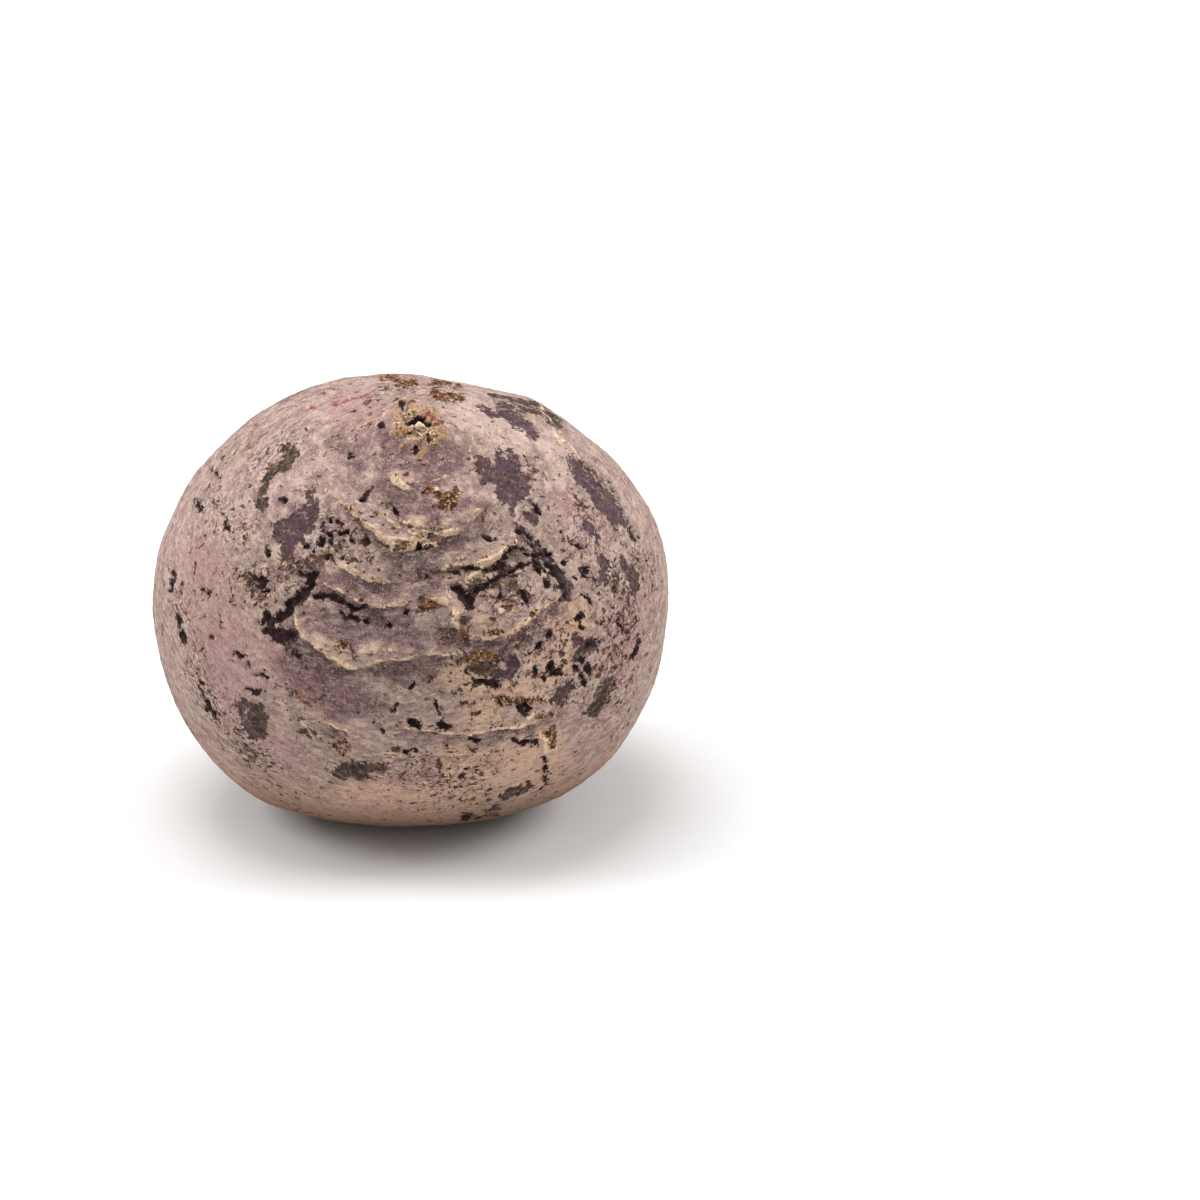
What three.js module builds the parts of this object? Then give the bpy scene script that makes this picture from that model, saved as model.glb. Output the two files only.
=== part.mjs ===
import * as THREE from 'three';
import { mergeVertices } from 'three/addons/utils/BufferGeometryUtils.js';

// A whole beetroot, in millimetres, +Z up. It stands upside down on its trimmed crown: the stump
// of the tap root is at the top and leans towards -Y, and the cut leaf stalks are underneath.
// The origin is the middle of the flat spot that it rests on.

// Driving dimensions of the root
const WIDTH = 90; // along X
const DEPTH = 87; // along Y
const HEIGHT = 75.6; // from the rest spot to the top
const MIDDLE_HEIGHT = 37.5; // where the root is widest
const REST_RADIUS = 11.5; // of the flat spot underneath
const REST_BLEND = 0.5; // how softly the flat spot runs into the cheeks
const LOWER_FULLNESS = 2.1; // 2 is an ellipse; more is squarer

// Swells and dips that make the root lopsided. Azimuth is counted from the front, -Y, towards
// the right, +X, and height above the horizon; both in degrees, as is the spread.
const SWELLS = [
  { name: 'lower left cheek', azimuth: -70, height: -46, rise: 2.3, spread: 22 },
  { name: 'lower right cheek', azimuth: 66, height: -44, rise: 2.0, spread: 24 },
  { name: 'left side flat', azimuth: -99, height: 16, rise: -0.3, spread: 14 },
  { name: 'upper left shoulder', azimuth: -128, height: 55, rise: 0.7, spread: 18 },
  { name: 'right side flat', azimuth: 106, height: 36, rise: -0.7, spread: 13 },
  { name: 'upper right dip', azimuth: 138, height: 64, rise: -1.2, spread: 13 },
  { name: 'lower back cheek', azimuth: 170, height: -30, rise: 1.6, spread: 32 },
  { name: 'front belly', azimuth: 5, height: -12, rise: 0.3, spread: 30 },
];

// Stump of the tap root, broken off short
const STUMP_LEAN = 26.5; // degrees from upright, towards -Y
const STUMP_SIDE = 6; // degrees of azimuth, towards +X
const CONE_RISE = 1.5; // the skin is drawn up into a low cone under the stump
const CONE_RADIUS = 10;
const COLLAR_RADIUS = 3.6; // ring of cork round the stump
const COLLAR_WIDTH = 1.1;
const COLLAR_RISE = 1.0;
const PIT_RADIUS = 2.0; // hollow inside the collar
const PIT_DEPTH = 1.3;
const NUB_RADIUS = 0.8; // last of the root's core, in the pit
const NUB_RISE = 1.2;

// Growth creases in the skin, bent round the stump. Away is the angle from the stump, round is
// the angle about it from the front towards the right, and half is half of what it spans round,
// all in degrees. Slope is how much further away its right half lies, and sag its middle.
const CREASES = [
  { name: 'under the stump', away: 20, round: -11, half: 13, slope: 1, sag: 0, rise: 0.5 },
  { name: 'first right', away: 29, round: 14, half: 24, slope: -2, sag: 1.8, rise: 0.8 },
  { name: 'second left', away: 31.5, round: -26, half: 34, slope: 3.5, sag: 1.5, rise: 0.8 },
  { name: 'third left', away: 43, round: -21, half: 11, slope: 0, sag: 0.5, rise: 0.6 },
  { name: 'fourth right', away: 38.5, round: 21, half: 18, slope: -0.3, sag: 1, rise: 0.8 },
  { name: 'fifth left', away: 48.5, round: -15, half: 18, slope: -1.2, sag: 0.5, rise: 0.5 },
  { name: 'long sixth', away: 58, round: -12, half: 24, slope: -0.6, sag: 3.4, rise: 0.8 },
  { name: 'hanging lip', away: 52, round: 26, half: 18, slope: 1, sag: 2.8, rise: 0.9 },
  { name: 'seventh right', away: 76, round: 15, half: 17, slope: 1.4, sag: 0.6, rise: 0.8 },
];
const CREASE_LENGTH = 3.4; // how far above a crease the skin starts to lift
const CREASE_DROP = 0.55; // the skin below a crease lies this share of its rise deeper
const CREASE_STEP = 1.5; // from the lip down to the skin below it

// More creases, fainter, run round the sides and the back by a rule
const BACK_CREASES = 15;
const BACK_AWAY = [24, 84]; // degrees away from the stump, first crease and last
const BACK_ROUND = [70, 290]; // degrees about the stump that they are spread over
const BACK_HALF = [9, 27]; // shortest and longest
const BACK_RISE = 0.5;

// Dents where side roots came off
const DENTS = [
  { name: 'front side root', azimuth: 16, height: 5, radius: 3.2, depth: 0.9 },
  { name: 'low crease', azimuth: 33, height: -28, radius: 3.4, depth: 0.7 },
  { name: 'right side root', azimuth: 96, height: 6, radius: 3.4, depth: 1.0 },
  { name: 'left side root', azimuth: -97, height: -2, radius: 3.4, depth: 1.0 },
  { name: 'back side root', azimuth: 187, height: 12, radius: 3.2, depth: 0.9 },
];

// Trimmed crown: stubs of cut leaf stalks packed in a disc, with a shallow groove round it
const CROWN_BACK = 22; // degrees from straight down, towards +Y
const CROWN_RADIUS = 14.5;
const CROWN_RISE = 1.2;
const CROWN_GROOVE = 0.8;
const CROWN_EDGE = 2; // half the width of the disc's soft edge
const STALK_COUNT = 15;
const STALK_RADIUS = 2.2;
const STALK_RISE = 2.4;
const STALK_EDGE = [0.4, 1.4]; // a stub's top and foot, in shares of its radius
const GOLDEN_TURN = 137.5; // degrees from one stalk to the next

// Net of the skin: rows run from the stump to the crown, and segments run round
const SEGMENTS = 84;
const FRONT_CROWDING = 0.3; // segments lie closer at the front, where most creases are
const ROW_BANDS = [
  { name: 'stump', rows: 10, until: 12 },
  { name: 'creased shoulder', rows: 30, until: 84 },
  { name: 'cheeks', rows: 13, until: 147 },
  { name: 'crown', rows: 16, until: 180 },
];

const SKIN_COLOUR = 0xa98f83;

const { degToRad, radToDeg, lerp, smoothstep } = THREE.MathUtils;
const MEAN_RADIUS = (WIDTH + DEPTH + HEIGHT) / 6;
const middle = new THREE.Vector3(0, 0, MIDDLE_HEIGHT);

// Unit vector from the middle of the root; azimuth and height as for the swells
function towards(azimuth, height) {
  const a = degToRad(azimuth);
  const h = degToRad(height);
  return new THREE.Vector3(Math.sin(a) * Math.cos(h), -Math.cos(a) * Math.cos(h), Math.sin(h));
}

const stump = towards(STUMP_SIDE, 90 - STUMP_LEAN);
const crown = towards(180, CROWN_BACK - 90);

// Two directions square to the stump: down the front of the root, and to its right
const rightOfStump = new THREE.Vector3(0, 1, 0).cross(stump).normalize();
const downFromStump = stump.clone().cross(rightOfStump).negate().normalize();

// Distance over the skin for an angle at the middle, in millimetres
function onSkin(degrees) {
  return degToRad(degrees) * MEAN_RADIUS;
}

// Where a direction lies seen from the stump: degrees away from it, and degrees round it
function fromStump(direction) {
  const away = radToDeg(direction.angleTo(stump));
  const round = radToDeg(Math.atan2(direction.dot(rightOfStump), direction.dot(downFromStump)));
  return { away, round };
}

// A smooth bump that is 1 in its middle and dies away at about twice its radius
function bump(distance, radius) {
  return Math.exp(-((distance / radius) ** 2));
}

// Smooth form without the relief: a fuller lower half, a rounder upper half and the swells
const LOWER_REACH = MIDDLE_HEIGHT / Math.sqrt(1 - (REST_RADIUS / (DEPTH / 2)) ** 2);
function formRadius(direction) {
  const upper = direction.z > 0;
  const reach = upper ? HEIGHT - MIDDLE_HEIGHT : LOWER_REACH;
  const power = upper ? 2 : LOWER_FULLNESS;
  const across = Math.hypot(direction.x / (WIDTH / 2), direction.y / (DEPTH / 2));
  const along = Math.abs(direction.z) / reach;
  let radius = (across ** power + along ** power) ** (-1 / power);
  for (const swell of SWELLS) {
    const angle = radToDeg(direction.angleTo(towards(swell.azimuth, swell.height)));
    radius += swell.rise * bump(angle, swell.spread);
  }
  return radius;
}

// Cone, corky collar, pit and nub of the broken tap root
function stumpRelief(away) {
  const distance = onSkin(away);
  const cone = CONE_RISE * bump(distance, CONE_RADIUS);
  const collar = COLLAR_RISE * bump(distance - COLLAR_RADIUS, COLLAR_WIDTH);
  const pit = -PIT_DEPTH * bump(distance, PIT_RADIUS);
  const nub = NUB_RISE * bump(distance, NUB_RADIUS);
  return cone + collar + pit + nub;
}

// The skin lifts towards a crease's lip, drops at the lip, and comes back below it
function creaseRelief(crease, away, round) {
  const turn = ((round - crease.round + 540) % 360) - 180;
  const along = turn / crease.half;
  if (Math.abs(along) >= 1) return 0;
  const line = crease.away + crease.slope * along - crease.sag * (along ** 2 - 0.5);
  const below = onSkin(away - line);
  const fade = (1 - along ** 2) ** 0.7;
  const lift = Math.exp(Math.min(below, 0) / CREASE_LENGTH);
  const drop = CREASE_DROP * Math.exp(-Math.max(below, 0) / CREASE_LENGTH);
  const step = smoothstep(below, -CREASE_STEP / 2, CREASE_STEP / 2);
  return crease.rise * fade * (lift * (1 - step) - drop * step);
}

const backCreases = [];
for (let i = 0; i < BACK_CREASES; i += 1) {
  const span = BACK_ROUND[1] - BACK_ROUND[0];
  const uneven = Math.sin(2 * i);
  backCreases.push({
    away: lerp(BACK_AWAY[0], BACK_AWAY[1], i / (BACK_CREASES - 1)),
    round: BACK_ROUND[0] + ((i * GOLDEN_TURN) % span),
    half: lerp(BACK_HALF[0], BACK_HALF[1], (1 + uneven) / 2),
    slope: 3 * uneven,
    sag: 2,
    rise: BACK_RISE * (1 + 0.3 * uneven),
  });
}

function creasesRelief(away, round) {
  let relief = 0;
  for (const crease of [...CREASES, ...backCreases]) {
    relief += creaseRelief(crease, away, round);
  }
  return relief;
}

function dentRelief(direction) {
  let relief = 0;
  for (const dent of DENTS) {
    const angle = radToDeg(direction.angleTo(towards(dent.azimuth, dent.height)));
    relief -= dent.depth * bump(onSkin(angle), dent.radius);
  }
  return relief;
}

// Middles of the stalk stubs: a sunflower pattern over the crown's disc
const stalks = [];
const besideCrown = new THREE.Vector3(1, 0, 0);
for (let i = 0; i < STALK_COUNT; i += 1) {
  const out = (CROWN_RADIUS - STALK_RADIUS) * Math.sqrt((i + 0.5) / STALK_COUNT);
  const place = crown.clone().applyAxisAngle(besideCrown, out / MEAN_RADIUS);
  stalks.push(place.applyAxisAngle(crown, degToRad(i * GOLDEN_TURN)));
}

function crownRelief(direction) {
  const distance = onSkin(radToDeg(direction.angleTo(crown)));
  const inside = 1 - smoothstep(distance, CROWN_RADIUS - CROWN_EDGE, CROWN_RADIUS + CROWN_EDGE);
  const groove = -CROWN_GROOVE * bump(distance - CROWN_RADIUS - CROWN_EDGE, CROWN_EDGE);
  let stub = 0;
  for (const stalk of stalks) {
    const from = onSkin(radToDeg(direction.angleTo(stalk)));
    const top = 1 - smoothstep(from / STALK_RADIUS, STALK_EDGE[0], STALK_EDGE[1]);
    stub = Math.max(stub, top);
  }
  return CROWN_RISE * inside + groove + STALK_RISE * stub * inside;
}

// The lower of two values, with a soft change from one to the other
function softLower(a, b, blend) {
  const share = Math.max(blend - Math.abs(a - b), 0) / blend;
  return Math.min(a, b) - (share ** 2 * blend) / 4;
}

// Point of the skin in a direction from the middle, cut flat underneath at the rest spot
function skinPoint(direction) {
  const { away, round } = fromStump(direction);
  let radius = formRadius(direction);
  radius += stumpRelief(away) + creasesRelief(away, round);
  radius += dentRelief(direction) + crownRelief(direction);
  if (direction.z < 0) {
    radius = softLower(radius, MIDDLE_HEIGHT / -direction.z, REST_BLEND);
  }
  const point = direction.clone().multiplyScalar(radius).add(middle);
  if (point.z < 1e-4) point.z = 0;
  return point;
}

// Row number to the angle from the stump, closer where the relief is finer
const ROWS = ROW_BANDS.reduce((sum, band) => sum + band.rows, 0);
function rowAngle(row) {
  let first = 0;
  let start = 0;
  for (const band of ROW_BANDS) {
    if (row <= first + band.rows) {
      return start + ((band.until - start) * (row - first)) / band.rows;
    }
    first += band.rows;
    start = band.until;
  }
  return start;
}

// Direction of one knot of the net. The net's lower end is turned from straight opposite the
// stump to the crown, so that both ends are poles of the net.
const oppositeToCrown = radToDeg(stump.clone().negate().angleTo(crown));
const turnAxis = stump.clone().negate().cross(crown).normalize();
function netDirection(round, away) {
  const crowded = round - FRONT_CROWDING * Math.sin(round);
  const a = degToRad(away);
  const direction = stump.clone().multiplyScalar(Math.cos(a));
  direction.addScaledVector(downFromStump, Math.sin(a) * Math.cos(crowded));
  direction.addScaledVector(rightOfStump, Math.sin(a) * Math.sin(crowded));
  const turn = oppositeToCrown * smoothstep(away, 90, 180);
  return direction.applyAxisAngle(turnAxis, degToRad(turn)).normalize();
}

function beetrootGeometry() {
  const geometry = new THREE.SphereGeometry(1, SEGMENTS, ROWS);
  const position = geometry.getAttribute('position');
  const uv = geometry.getAttribute('uv');
  for (let i = 0; i < position.count; i += 1) {
    const row = Math.round((1 - uv.getY(i)) * ROWS);
    const segment = Math.round(uv.getX(i) * SEGMENTS) % SEGMENTS;
    const round = (2 * Math.PI * segment) / SEGMENTS;
    const point = skinPoint(netDirection(round, rowAngle(row)));
    position.setXYZ(i, point.x, point.y, point.z);
  }
  geometry.deleteAttribute('normal');
  geometry.deleteAttribute('uv');
  const merged = mergeVertices(geometry, 1e-3);
  merged.computeVertexNormals();
  return merged;
}

const skin = new THREE.MeshStandardMaterial({ color: SKIN_COLOUR, roughness: 0.85, metalness: 0 });
const beetroot = new THREE.Mesh(beetrootGeometry(), skin);
beetroot.name = 'beetroot';

const root = new THREE.Group();
root.add(beetroot);

export default root;
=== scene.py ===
import math
import random

import bmesh
import bpy
import numpy as np
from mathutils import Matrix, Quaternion, Vector, noise
from mathutils.bvhtree import BVHTree


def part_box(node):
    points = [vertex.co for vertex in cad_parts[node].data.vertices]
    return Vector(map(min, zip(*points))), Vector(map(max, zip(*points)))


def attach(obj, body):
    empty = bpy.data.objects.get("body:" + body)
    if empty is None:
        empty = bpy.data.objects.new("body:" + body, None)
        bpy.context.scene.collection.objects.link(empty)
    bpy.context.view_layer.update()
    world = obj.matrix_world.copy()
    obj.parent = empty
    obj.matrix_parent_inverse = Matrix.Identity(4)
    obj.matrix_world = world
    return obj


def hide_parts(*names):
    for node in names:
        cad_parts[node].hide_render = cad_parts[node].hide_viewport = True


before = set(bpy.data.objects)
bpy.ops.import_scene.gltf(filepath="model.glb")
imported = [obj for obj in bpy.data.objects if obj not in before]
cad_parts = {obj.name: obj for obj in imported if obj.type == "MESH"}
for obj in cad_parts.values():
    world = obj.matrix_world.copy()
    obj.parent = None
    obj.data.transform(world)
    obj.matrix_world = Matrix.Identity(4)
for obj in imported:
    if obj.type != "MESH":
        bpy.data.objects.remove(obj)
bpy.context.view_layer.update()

# Camera: a long lens a little above the root, as for a catalogue picture. The marks on the skin
# are placed by the photograph's pixels, so the camera comes first and tells where each falls.
MM = 0.001
PHOTO_SIDE = 1200
LENS, SENSOR = 100, 36
LOOKING_DOWN = math.radians(20)
CAMERA_DISTANCE = 583 * MM
MIDDLE_PIXEL = (411.6, 588.4)

low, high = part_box("beetroot")
middle = Vector((0, 0, (low[2] + high[2]) / 2))
looking = Vector((0, math.cos(LOOKING_DOWN), -math.sin(LOOKING_DOWN)))
eye = middle - looking * CAMERA_DISTANCE
across = Vector((1, 0, 0))
upward = across.cross(looking)
pixels_per_slope = LENS / SENSOR * PHOTO_SIDE
pixel = CAMERA_DISTANCE / pixels_per_slope
aim = middle + across * (PHOTO_SIDE / 2 - MIDDLE_PIXEL[0]) * pixel
aim += upward * (MIDDLE_PIXEL[1] - PHOTO_SIDE / 2) * pixel


def add_object(name, data):
    added = bpy.data.objects.new(name, data)
    bpy.context.scene.collection.objects.link(added)
    return added


camera = add_object("camera", bpy.data.cameras.new("camera"))
camera.data.lens = LENS
camera.data.sensor_width = SENSOR
camera.location = eye
camera.rotation_mode = "QUATERNION"
camera.rotation_quaternion = (aim - eye).to_track_quat("-Z", "Y")
bpy.context.scene.camera = camera
camera_axes = np.array(camera.rotation_quaternion.to_matrix())


def photo_pixels(points):
    seen = (points - np.array(eye)) @ camera_axes
    scale = pixels_per_slope / -seen[:, 2:]
    return PHOTO_SIDE / 2 + seen[:, :2] * scale * (1, -1)


# Body of the root: one closed skin over the grown form. A finely divided cube is blown up to the
# form of the solid, its knots drawn towards the side that most creases are on, and smoothed, so
# that the solid's flat faces are gone before the fine relief is cut.
CUTS = 127
CROWDING = 0.7
CROWDED_TO_STUMP = 0.4
SAME_SPOT = 0.002 * MM
SMOOTHINGS, SMOOTHING = 20, 0.5
STUMP_LEAN = math.radians(26.5)
STUMP_SIDE = math.radians(6)

lean_out = math.sin(STUMP_LEAN)
lean_right, lean_back = math.sin(STUMP_SIDE) * lean_out, -math.cos(STUMP_SIDE) * lean_out
stump_axis = Vector((lean_right, lean_back, math.cos(STUMP_LEAN)))
crowded_to = (stump_axis * CROWDED_TO_STUMP - looking).normalized()

solid = bmesh.new()
solid.from_mesh(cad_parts["beetroot"].data)
bmesh.ops.remove_doubles(solid, verts=solid.verts, dist=SAME_SPOT)
solid_faces = BVHTree.FromBMesh(solid)
solid.free()


def on_solid(direction):
    return solid_faces.ray_cast(middle, direction)[0]


skin = bmesh.new()
bmesh.ops.create_cube(skin, size=2)
bmesh.ops.subdivide_edges(skin, edges=skin.edges, cuts=CUTS, use_grid_fill=True)
for knot in skin.verts:
    even = Vector([math.tan(math.pi / 4 * c) for c in knot.co]).normalized()
    turned = even.angle(crowded_to)
    drawn = 2 * math.atan(CROWDING * math.tan(turned / 2))
    even.rotate(Quaternion(even.cross(crowded_to), turned - drawn))
    knot.co = on_solid(even)
for step in range(SMOOTHINGS):
    bmesh.ops.smooth_vert(skin, verts=skin.verts, factor=SMOOTHING,
                          use_axis_x=True, use_axis_y=True, use_axis_z=True)

mesh = bpy.data.meshes.new("beetroot_skin")
skin.to_mesh(mesh)
skin.free()
beetroot = add_object("beetroot_skin", mesh)
mesh.shade_smooth()

count = len(mesh.vertices)
points = np.empty(count * 3)
mesh.vertices.foreach_get("co", points)
points = points.reshape(count, 3)
normals = np.empty(count * 3)
mesh.vertex_normals.foreach_get("vector", normals)
normals = normals.reshape(count, 3)
relief = np.zeros(count)

# Unevenness of a grown skin, from soft lumps down to grit. More noises of the same kind bend the
# marks below and roughen their edges, so that no mark is drawn with a clean line.
LUMP = (9 * MM, 0.30 * MM)
WRINKLE = (2.0 * MM, 0.13 * MM)
GRAIN = (0.8 * MM, 0.07 * MM)
BEND = (1.2 * MM, 2.2)
SWAY = (4.5 * MM, 2.4)
RING_SQUEEZE = 1.8
KNOBBLY, KNOBBLY_SHIFT = 1.0 * MM, Vector((7, 0, 0))
PATCHY, PATCHY_SHIFT = 2.4 * MM, Vector((0, 5, 0))
NOISE_SEED = 5

noise.seed_set(NOISE_SEED)
bent_by = np.empty((count, 3))
knobbly = np.empty(count)
patchy = np.empty(count)
for i in range(count):
    place = Vector(points[i])
    squeezed = place + stump_axis * (place - middle).dot(stump_axis) * RING_SQUEEZE
    relief[i] = noise.noise(place / LUMP[0]) * LUMP[1]
    relief[i] += noise.noise(squeezed / WRINKLE[0]) * WRINKLE[1]
    relief[i] += noise.noise(place / GRAIN[0]) * GRAIN[1]
    bend = noise.noise_vector(place / BEND[0]) * BEND[1]
    bent_by[i] = bend + noise.noise_vector(place / SWAY[0]) * SWAY[1]
    knobbly[i] = noise.noise(place / KNOBBLY + KNOBBLY_SHIFT)
    patchy[i] = noise.noise(place / PATCHY + PATCHY_SHIFT)

# Marks on the skin, drawn as strokes: each is a row of (x, y, half width) in photograph pixels
# for the side that shows. A mark's field is the distance to its nearest stroke, under zero
# inside, so that relief and colour can both follow the mark's edge.
LIMB = 0.12
LIMB_FADE = 400
FAR = 60.0
OFF_SKIN, OFF_SKIN_FADE = 8, 4

seen_at = photo_pixels(points) + bent_by[:, :2]
to_eye = np.array(eye) - points
to_eye /= np.linalg.norm(to_eye, axis=1)[:, None]
facing = (normals * to_eye).sum(axis=1)
behind = np.maximum(LIMB - facing, 0) * LIMB_FADE
solid_pixels = points / pixel + bent_by


def nearest_on(where, start, end):
    way = end - start
    share = np.clip((where - start) @ way / max(way @ way, 1e-9), 0, 1)
    return share, start + share[:, None] * way


def apart_from(foot, where):
    apart = where - foot
    if where.shape[1] == 2:
        return apart, np.linalg.norm(apart, axis=1)
    outward = (apart * normals).sum(axis=1)
    along = apart - normals * outward[:, None]
    off_skin = np.maximum(np.abs(outward) - OFF_SKIN, 0) * OFF_SKIN_FADE
    return along, np.linalg.norm(along, axis=1) + off_skin


def stroke_field(strokes, where=seen_at, hidden=behind):
    field = np.full(count, FAR)
    for stroke in strokes:
        stroke = stroke if len(stroke) > 1 else stroke * 2
        for a, b in zip(stroke, stroke[1:]):
            share, foot = nearest_on(where, np.array(a[:-1]), np.array(b[:-1]))
            width = a[-1] + (b[-1] - a[-1]) * share
            field = np.minimum(field, apart_from(foot, where)[1] - width + hidden)
    return field


def rise(value, start, end):
    share = np.clip((value - start) / (end - start), 0, 1)
    return share * share * (3 - 2 * share)


# Growth creases: the corky skin of each older ring ends in a pale lip that hangs a little over
# the younger skin below it. Each has the pixels of its lip, and widens where the lip is thick.
STUMP_PIXEL = np.array((421, 428))
LIP_HEIGHT = 0.52 * MM
LIP_REACH = 10
STEP_REACH = 9
STEP_DEPTH = 0.8
STEP_EDGE = (-0.6, 1.8)
# Reach in pixels of the painted light in a band over each lip and the painted shade in a band under it.
PAINTED_LIGHT_REACH, PAINTED_SHADE_REACH = 8, 16
FULL_LIP = 2.2
LIP_STRENGTH = (1, 1.2, 0.5, 1.5)
LIP_WIDTH = (1.1, 1.8, 0.3, 1.6)

creases = {
    "under the stump, left": [(379, 468, 0.5), (392, 478, 1.4), (404, 486, 1.6), (417, 491, 1)],
    "first ring, left": [(384, 516, 0.5), (399, 527, 1.4), (418, 536, 1.2), (430, 538, 0.6)],
    "first ring, middle": [(400, 521, 0.6), (411, 524, 1.6), (429, 528, 1.8), (448, 525, 1)],
    "first ring, right": [(408, 528, 1), (431, 533, 1.6), (450, 532, 2), (463, 528, 2),
                          (475, 518, 1.8), (484, 506, 0.9)],
    "second ring": [(318, 480, 0.6), (342, 502, 1.1), (360, 519, 1.4), (372, 530, 1.8), (383, 540, 2.2),
                    (394, 548, 2.6), (411, 546, 2.2), (435, 543, 1)],
    "second ring, upper": [(388, 538, 0.8), (402, 541, 1.8), (416, 539, 1.4), (426, 539, 0.6)],
    "third ring": [(333, 563, 0.6), (345, 568, 1.6), (360, 575, 2.4), (377, 581, 2.6), (393, 581, 1)],
    "third ring, lower": [(314, 581, 0.7), (328, 585, 2), (342, 591, 1.4), (356, 599, 1.4),
                          (366, 603, 1.6)],
    "fourth ring": [(441, 570, 1.2), (455, 566, 2), (467, 564, 2.2), (485, 563, 2.4), (501, 556, 2.4),
                    (509, 549, 2), (518, 538, 0.8)],
    "fourth ring, upper": [(448, 561, 0.5), (462, 559, 1), (478, 558, 0.8)],
    "flap under the fourth": [(458, 583, 0.8), (467, 580, 1.8), (480, 573, 2), (496, 576, 1.2)],
    "fifth ring, left": [(364, 603, 1.4), (384, 607, 1.8), (401, 604, 1.6), (415, 600, 0.6)],
    "fifth ring, right": [(432, 599, 1), (444, 602, 2.2), (453, 608, 2), (455, 618, 2.4)],
    "sixth ring": [(294, 610, 0.8), (298, 624, 2.2), (304, 636, 3.8), (317, 648, 4.4),
                   (332, 658, 2.6), (346, 665, 2.6), (358, 667, 2.6), (368, 663, 2.2),
                   (381, 660, 2), (401, 658, 2), (429, 654, 1.8), (459, 654, 0.8)],
    "sixth ring, upper": [(312, 640, 0.6), (326, 647, 1.2), (352, 652, 1), (372, 650, 1.6),
                          (392, 649, 0.8)],
    "hanging flap": [(455, 616, 2.4), (456, 626, 2.8), (464, 634, 2.4), (473, 641, 1.4)],
    "hanging flap, right": [(474, 635, 1), (489, 637, 1.8), (504, 635, 2.2), (517, 629, 3), (525, 624, 3),
                            (536, 615, 2.6), (548, 605, 2), (561, 595, 0.9)],
    "inside the flap": [(492, 622, 0.6), (506, 618, 1.2), (520, 609, 1), (532, 600, 0.6)],
    "seventh ring": [(404, 728, 0.8), (420, 730, 1.8), (439, 731, 2.2), (467, 732, 2.4),
                     (486, 731, 2.2), (504, 728, 2), (520, 724, 2.2), (534, 721, 1.6), (551, 714, 0.9)],
    "low left": [(322, 719, 0.8), (331, 723, 2), (341, 728, 1.6), (353, 731, 0.6)],
    "round the stump, left": [(372, 444, 0.4), (378, 424, 0.7), (390, 406, 0.7), (408, 396, 0.4)],
    "round the stump, below": [(388, 470, 0.4), (402, 480, 0.9), (424, 484, 0.8), (446, 476, 0.5)],
    "right of the stump": [(462, 410, 0.4), (472, 426, 0.8), (472, 444, 0.7), (462, 460, 0.4)],
    "right shoulder": [(532, 400, 0.4), (548, 416, 0.8), (566, 440, 0.8), (588, 470, 0.7), (604, 500, 0.4)],
    "left cheek": [(300, 520, 0.4), (286, 560, 0.6), (282, 590, 0.4)],
    "low": [(330, 760, 0.4), (380, 752, 0.6), (440, 756, 0.5), (490, 752, 0.4)],
}
painted_ledge_light_and_shade = np.zeros(count)
lip_field = np.full(count, FAR)


def uneven(even, change, least, most):
    return np.clip(even + change * patchy, least, most)


def cut_ledge(where, line, hidden, away):
    nearest = np.full(count, FAR)
    side = np.zeros(count)
    width = np.zeros(count)
    for a, b in zip(line, line[1:]):
        share, foot = nearest_on(where, np.array(a[:-1]), np.array(b[:-1]))
        apart, distance = apart_from(foot, where)
        closer = distance < nearest
        nearest = np.where(closer, distance, nearest)
        side = np.where(closer, np.sign((apart * away(foot)).sum(axis=1)), side)
        width = np.where(closer, a[-1] + (b[-1] - a[-1]) * share, width)
    below = nearest * side
    strength = width / FULL_LIP * uneven(*LIP_STRENGTH)
    strength = strength * np.clip(1 - hidden / LIP_REACH, 0, 1) * (nearest < FAR)
    lifted = np.exp(np.minimum(below, 0) / LIP_REACH)
    sunk = -STEP_DEPTH * np.exp(-np.maximum(below, 0) / STEP_REACH)
    step = rise(below, *STEP_EDGE)
    relief[:] += LIP_HEIGHT * strength * (lifted * (1 - step) + sunk * step)
    # Painted light over the lip and painted shade under it, kept as a field for the skin's colour.
    pale = np.exp(np.minimum(below, 0) / PAINTED_LIGHT_REACH)
    dark = -np.exp(-np.maximum(below, 0) / PAINTED_SHADE_REACH)
    painted_ledge_light_and_shade[:] += strength * np.where(below < 0, pale, dark)
    lip_field[:] = np.minimum(lip_field, nearest - width * uneven(*LIP_WIDTH) + hidden)


for line in creases.values():
    cut_ledge(seen_at, line, behind, lambda foot: foot - STUMP_PIXEL)

# Cracks and holes: places where the cork has split or been nibbled through, dark to black inside
# and cut into the body. A few strokes are painted shadow, black like a crack: under the fourth
# ring's lip and under the roof of the stump's pit.
CRACK_DEPTH = 0.75 * MM

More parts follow.
